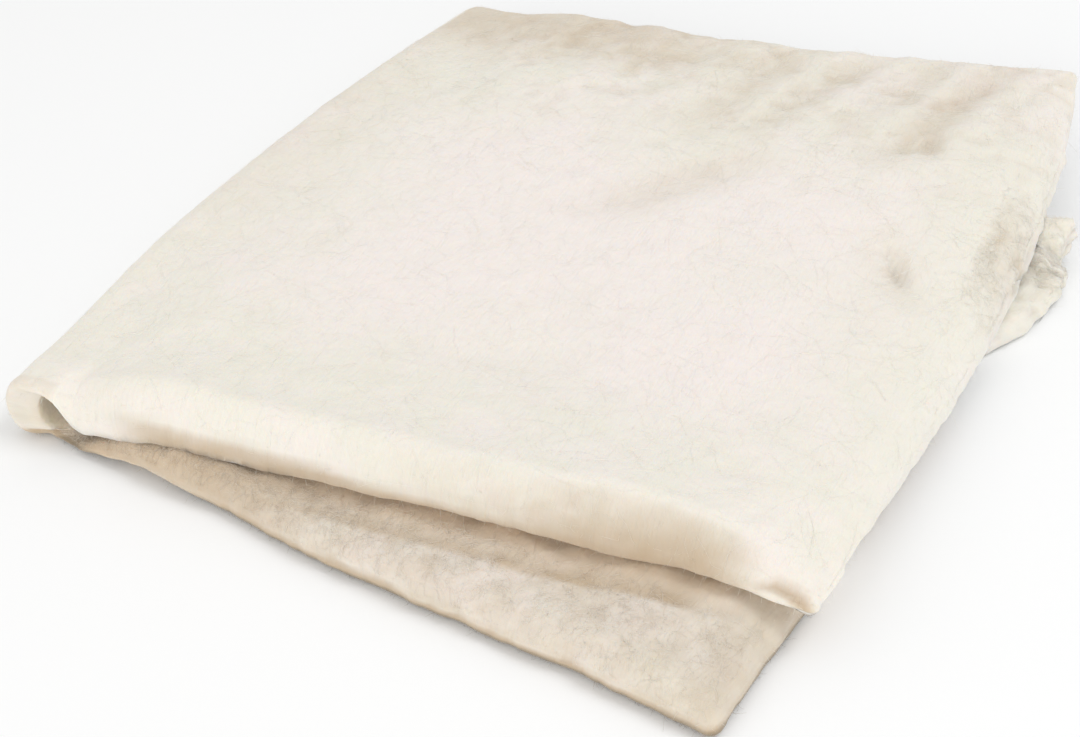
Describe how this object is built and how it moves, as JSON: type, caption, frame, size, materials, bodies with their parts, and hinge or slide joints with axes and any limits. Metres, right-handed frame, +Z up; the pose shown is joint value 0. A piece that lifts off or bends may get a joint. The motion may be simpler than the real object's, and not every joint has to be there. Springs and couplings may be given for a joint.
{
  "type": "muffler packing mat",
  "caption": "Folded off-white needled fiberglass mat for packing a muffler: one soft fibrous blanket, folded once like a book, with an open front edge and a bunched back corner.",
  "frame": {"origin": "bottom centre of the bounding box, on the floor that the mat lies on", "axes": "+Z up; +Y towards the back, along the upper leaf's side; +X from the fold to the leaves' free ends; the leaves open towards -Y"},
  "size_m": [0.306, 0.3414, 0.033],
  "materials": {
    "glass_fibre": "matt, fibrous"
  },
  "bodies": {
    "root": {"fiberglass_mat": "glass_fibre"}
  },
  "joints": []
}
